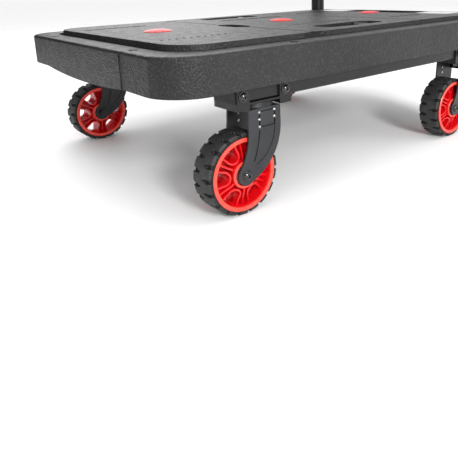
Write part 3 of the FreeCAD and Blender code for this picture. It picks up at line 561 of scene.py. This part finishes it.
for caster, (x, y) in CASTERS.items():
    centre = (x - WHEEL_TRAIL, y, HUB_Z)
    body = f"wheel_{caster}"
    for master, label, node, slot in ((tyre_object, "tread", f"tyre_{caster}", "tread_rubber"),
                                      (rim_object, "rim", f"wheel_rim_{caster}", "red_gloss"),
                                      (seal_object, "seal", f"hub_caps_{caster}", "hub_polymer")):
        piece = copy_of(master, f"{label}_{caster}", centre)
        if label == "rim":
            add_bevel(piece, RIM_BEVEL, 0.7)
        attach(piece, body)
        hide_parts(node)
for master in (tyre_object, rim_object, seal_object):
    bpy.data.objects.remove(master)


# ---- dark skirts and blocks in the swivel gap, as painted shade --------------------------------
# (radius, height) points in mm.
SKIRT = [(25.0, 157.6), (28.6, 157.6), (28.8, 158.6), (28.3, 159.4), (28.3, 163.6), (27.6, 165.2),
         (26.6, 165.5), (25.0, 165.2)]
# The blocks, in metres.
BLOCK_OFFSET = 0.0375
BLOCK_Z = 0.1622
BLOCK_HALF = (0.0085, 0.0246, 0.0036)


def gap_shade_ring(x, y):
    """A dark lipped ring on the fork's crown that hides the swivel's balls: painted shade for the gap between
    saddle and crown.
    """
    bm = bmesh.new()
    turned(bm, SKIRT, 72, (x, y, 0.0), "Z")
    return bm


def gap_shade_blocks(x, y):
    """Two dark blocks on either side of the swivel that fill the gap between saddle and crown as painted
    shade.
    """
    bm = bmesh.new()
    for side in (-1, 1):
        box(bm, (x + side * BLOCK_OFFSET, y, BLOCK_Z), BLOCK_HALF)
    return bm


# painted shade: dark pieces fill the see-through gap between saddle and crown
for caster, (x, y) in CASTERS.items():
    blocks = object_from(f"gap_shade_blocks_{caster}", gap_shade_blocks(x, y), DARK, bevel=0.0008)
    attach(blocks, "chassis")
    skirt = object_from(f"gap_shade_ring_{caster}", gap_shade_ring(x, y), DARK)
    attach(skirt, f"swivel_{caster}")


# ---- deck details ------------------------------------------------------------------------------
DOME_X = (-0.300, 0.0, 0.300)
DOME_EDGE = [(25.9, -1.4), (25.9, 0.5), (25.4, 1.2), (24.3, 1.5), (23.4, 1.3), (22.9, 1.5)]
DOME_TIP_R = 0.05
DOME_RISE = 2.3
DOME_RING_LIFT = 0.55
# Each field of bars: from X, to X, distance of its two rows from the middle, in metres.
BAR_FIELDS = [(-0.380, -0.250, 0.150), (-0.085, 0.095, 0.112), (0.190, 0.300, 0.150)]
BAR_PITCH = 0.012
BAR_HALF = (0.0018, 0.0080, 0.0005)
BAR_LIFT = 0.00012
BAR_SLANT = 0.5


def dome_pieces():
    """Three low red domes, each with a bead round its edge and a raised ring."""
    profile = [(DOME_TIP_R, -1.4)] + DOME_EDGE
    for i in range(9):
        r = 22.5 - i * 2.6
        lift = DOME_RING_LIFT if i in (3, 4) else 0.0
        profile.append((max(r, DOME_TIP_R), 1.5 + DOME_RISE * (1 - (r / 24.0) ** 2) + lift))
    bm = bmesh.new()
    for x in DOME_X:
        turned(bm, profile, 80, (x, 0.0, PANEL_TOP), "Z")
    return bm


domes = object_from("red_domes", dome_pieces(), RED_DOME, smooth=0.5)
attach(domes, "chassis")
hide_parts("dome_inlays")


def grip_relief():
    """Low slanted bars moulded into the deck's panels, in one row on each side of the domes."""
    bm = bmesh.new()
    for x0, x1, row in BAR_FIELDS:
        count = int((x1 - x0) / BAR_PITCH)
        for side in (-1, 1):
            for i in range(count):
                centre = (x0 + (i + 0.5) * (x1 - x0) / count, side * row, PANEL_TOP + BAR_LIFT)
                box(bm, centre, BAR_HALF, BAR_SLANT * side)
    return bm


relief = object_from("deck_grip_relief", grip_relief(), DECK, bevel=0.00028)
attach(relief, "chassis")


# ---- handle grip (mm) --------------------------------------------------------------------------
GRIP_END = [(16.05, -149.5), (17.6, -149.5), (19.2, -148.6), (19.9, -146.6), (19.9, -141.0)]
GRIP_GROOVE = [(19.9, 0.6), (19.7, 1.6), (18.9, 2.4), (18.9, 3.6), (19.7, 4.4), (19.9, 5.4)]
GRIP_GROOVES = 28
GRIP_PITCH = 10.0


def grip_mesh():
    """A ribbed sleeve with rounded ends."""
    bm = bmesh.new()
    outer = list(GRIP_END)
    for i in range(GRIP_GROOVES):
        start = GRIP_PITCH * (i - GRIP_GROOVES / 2)
        outer += [(r, start + along) for r, along in GRIP_GROOVE]
    outer += [(r, -y) for r, y in reversed(GRIP_END)]
    turned(bm, outer, 72, (POST_X, 0.0, GRIP_Z))
    return bm


grip = object_from("grip_sleeve", grip_mesh(), GRIP, smooth=0.7)
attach(grip, "handle")
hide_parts("handle_grip")


# ---- finishes of the carried-over nodes --------------------------------------------------------
# Each entry: material and bevel width in metres, for a node's name or for the start of it.
FINISH = {"deck_top": (DECK, 0.0005), "deck_base_pan": (DARK, None), "rail_end_plugs": (DARK, None),
          "smooth_pads": (PALE, None), "deck_screws": (BOLT, None), "tie_bars": (BOLT, None),
          "saddle_bolts": (BOLT, None), "swivel_balls": (ZINC, None), "kingpins": (BOLT, 0.0004),
          "pivot_bolts": (ZINC, 0.0004), "handle_tongues": (TUBE_STEEL, 0.0005),
          "handle_tube": (TUBE_STEEL, None),
          "clamp_knob_right": (DARK, 0.0012), "clamp_knob_left": (DARK, 0.0012)}
PREFIXES = {"rail_": (STEEL, None), "cross_member_": (STEEL, None), "handle_socket_": (STEEL, 0.0005),
            "saddle_": (STEEL, 0.0007), "fork_rivets_": (RIVET, None), "fork_": (FORK_STEEL, 0.0008),
            "swivel_race_": (STEEL, 0.0004), "axle_": (BOLT, 0.0003), "wheel_bearings_": (ZINC, None)}
for name, node in NODES.items():
    if node.hide_render:
        continue
    material, bevel = FINISH.get(name) or next(v for k, v in PREFIXES.items() if name.startswith(k))
    dress(node, material, 0.5, bevel)


# ---- studio ------------------------------------------------------------------------------------
FLOOR_Z = -0.0002
WORLD_STRENGTH = 0.97
# Each lamp: name, place, the point it faces, size of the square in metres, power in watts.
LAMPS = [("key", (-0.8, -2.6, 1.2), (-0.3, -0.3, 0.15), 0.6, 62.0),
         ("top", (0.0, 0.0, 3.4), (0.0, 0.0, 0.2), 3.0, 40.0),
         ("fill", (2.4, -2.0, 1.6), (0.0, 0.0, 0.2), 2.0, 8.0),
         ("back", (0.8, 3.2, 1.8), (0.0, 0.0, 0.25), 2.6, 30.0)]


def stage_plane(name, material, size, location, rotation=(0.0, 0.0, 0.0)):
    bpy.ops.mesh.primitive_plane_add(size=size, location=location, rotation=rotation)
    plane = bpy.context.object
    plane.name = name
    plane.data.materials.append(material)
    return plane


def floor():
    """A plain pale floor."""
    surface = Surface("studio_floor")
    surface.bump(surface.noise(35.0, 3.0), 0.0002, 0.1)
    patches = surface.spread(surface.noise(1.2, 2.0), 0.3, 0.7)
    pale = surface.mix(patches, (0.93, 0.93, 0.93), (0.945, 0.945, 0.945))
    material = surface.finish(pale, surface.spread(surface.noise(8.0, 2.0), 0.3, 0.7, 0.7, 0.8))
    stage_plane("studio_floor", material, 60.0, (0.0, 0.0, FLOOR_Z))


def flag():
    """A dark panel behind the truck that is seen only in reflections and keeps the black parts black."""
    surface = Surface("studio_flag")
    grey = surface.mix(surface.noise(4.0), (0.010, 0.010, 0.010), (0.014, 0.014, 0.014))
    material = surface.finish(grey, 0.9)
    plane = stage_plane("studio_flag", material, 3.4, (-1.2, 2.4, 0.9), (math.radians(90), 0.0, 0.4))
    plane.visible_camera = False
    plane.visible_diffuse = False
    plane.visible_shadow = False
    plane.visible_transmission = False


def studio():
    """Floor, flag, white surroundings and soft lamps."""
    floor()
    flag()
    scene = bpy.context.scene
    scene.view_settings.view_transform = "Standard"
    if scene.world is None:
        scene.world = bpy.data.worlds.new("studio")
    scene.world.use_nodes = True
    background = scene.world.node_tree.nodes["Background"]
    background.inputs["Color"].default_value = (1.0, 1.0, 1.0, 1.0)
    background.inputs["Strength"].default_value = WORLD_STRENGTH
    for name, at, target, size, energy in LAMPS:
        light = bpy.data.lights.new(name, "AREA")
        light.shape = "SQUARE"
        light.size = size
        light.energy = energy
        lamp = bpy.data.objects.new(name, light)
        scene.collection.objects.link(lamp)
        lamp.location = at
        lamp.rotation_euler = (Vector(target) - Vector(at)).to_track_quat("-Z", "Y").to_euler()


# ---- camera ------------------------------------------------------------------------------------
CAMERA_AT = (-0.7320, -0.8258, 0.3267)
YAW = 0.678
PITCH = 0.245
ROLL = -0.031
LENS = 39.03
SENSOR = 36.0
SHIFT = (-0.0677, -0.2598)


def camera():
    """A low three-quarter view of the deck's free end, through a shifted lens."""
    data = bpy.data.cameras.new("camera")
    data.sensor_width = SENSOR
    data.lens = LENS
    data.shift_x, data.shift_y = SHIFT
    data.clip_start = 0.01
    data.clip_end = 100.0
    cam = bpy.data.objects.new("camera", data)
    bpy.context.scene.collection.objects.link(cam)
    forward = Vector((math.sin(YAW) * math.cos(PITCH), math.cos(YAW) * math.cos(PITCH), -math.sin(PITCH)))
    right = Vector((math.cos(YAW), -math.sin(YAW), 0.0))
    up = right.cross(forward)
    across = right * math.cos(ROLL) + up * math.sin(ROLL)
    upward = up * math.cos(ROLL) - right * math.sin(ROLL)
    turn = Matrix((across, upward, -forward)).transposed().to_4x4()
    cam.matrix_world = Matrix.Translation(CAMERA_AT) @ turn
    bpy.context.scene.camera = cam


studio()
camera()
